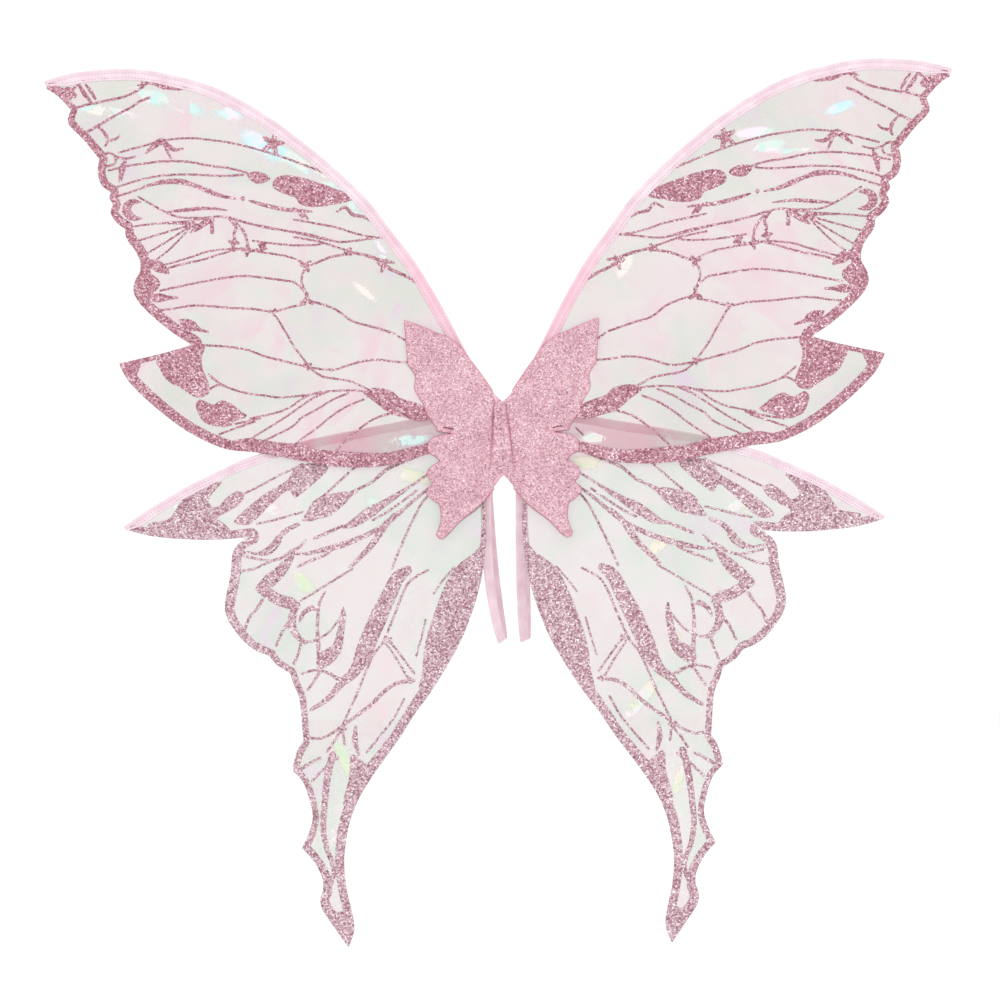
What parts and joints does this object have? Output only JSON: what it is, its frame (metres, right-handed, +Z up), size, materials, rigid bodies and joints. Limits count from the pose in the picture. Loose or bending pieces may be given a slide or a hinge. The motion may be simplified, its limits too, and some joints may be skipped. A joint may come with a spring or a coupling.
{
  "type": "costume wings",
  "caption": "Butterfly-shaped costume wings: printed film wings on taped wire frames, a glittered emblem at the spine and elastic arm loops.",
  "frame": {"origin": "middle of the spine's back face, where it lies against the wearer's back", "axes": "+X to the right seen from the emblem side, +Y towards the wearer, +Z up"},
  "size_m": [0.8788, 0.0523, 0.8542],
  "materials": {
    "glitter_sheet": "pink glitter bonded to a soft sheet",
    "backing_cloth": "plain matt pink cloth",
    "core_foam": "soft foam packing",
    "stay_plastic": "plain moulded strip",
    "thread": "twisted sewing thread",
    "upper_film": "iridescent film printed with rose glitter",
    "lower_film": "iridescent film printed with pale pink glitter",
    "satin_tape": "pale pink satin tape",
    "spring_wire": "drawn steel wire",
    "clip_metal": "pressed sleeve",
    "elastic": "flat braided elastic"
  },
  "bodies": {
    "spine": {"spine_front": "glitter_sheet", "spine_core": "core_foam", "spine_stay": "stay_plastic", "spine_back": "backing_cloth", "spine_stitching": "thread"},
    "wing_left": {"emblem_front_left": "glitter_sheet", "emblem_back_left": "backing_cloth", "emblem_tacks_left": "thread", "upper_film_left": "upper_film", "upper_casing_left": "satin_tape", "upper_wire_left": "spring_wire", "lower_film_left": "lower_film", "lower_casing_left": "satin_tape", "lower_wire_left": "spring_wire", "wire_clip_left": "clip_metal", "strap_tab_left": "elastic", "tab_stitching_left": "thread"},
    "strap_left": {"strap_loop_left": "elastic"},
    "wing_right": {"emblem_front_right": "glitter_sheet", "emblem_back_right": "backing_cloth", "emblem_tacks_right": "thread", "upper_film_right": "upper_film", "upper_casing_right": "satin_tape", "upper_wire_right": "spring_wire", "lower_film_right": "lower_film", "lower_casing_right": "satin_tape", "lower_wire_right": "spring_wire", "wire_clip_right": "clip_metal", "strap_tab_right": "elastic", "tab_stitching_right": "thread"},
    "strap_right": {"strap_loop_right": "elastic"}
  },
  "joints": [
    {"name": "fold_left", "type": "hinge", "parent": "spine", "child": "wing_left", "pos_m": [-0.01, -0.0086, 0], "axis": [0, 0, 1], "range_deg": [0, 85]},
    {"name": "fold_right", "type": "hinge", "parent": "spine", "child": "wing_right", "pos_m": [0.01, -0.0086, 0], "axis": [0, 0, -1], "range_deg": [0, 85]},
    {"name": "swing_left", "type": "hinge", "parent": "wing_left", "child": "strap_left", "pos_m": [-0.017, 0.0015, 0], "axis": [1, 0, 0], "range_deg": [0, 80]},
    {"name": "swing_right", "type": "hinge", "parent": "wing_right", "child": "strap_right", "pos_m": [0.017, 0.0015, 0], "axis": [1, 0, 0], "range_deg": [0, 80]}
  ]
}
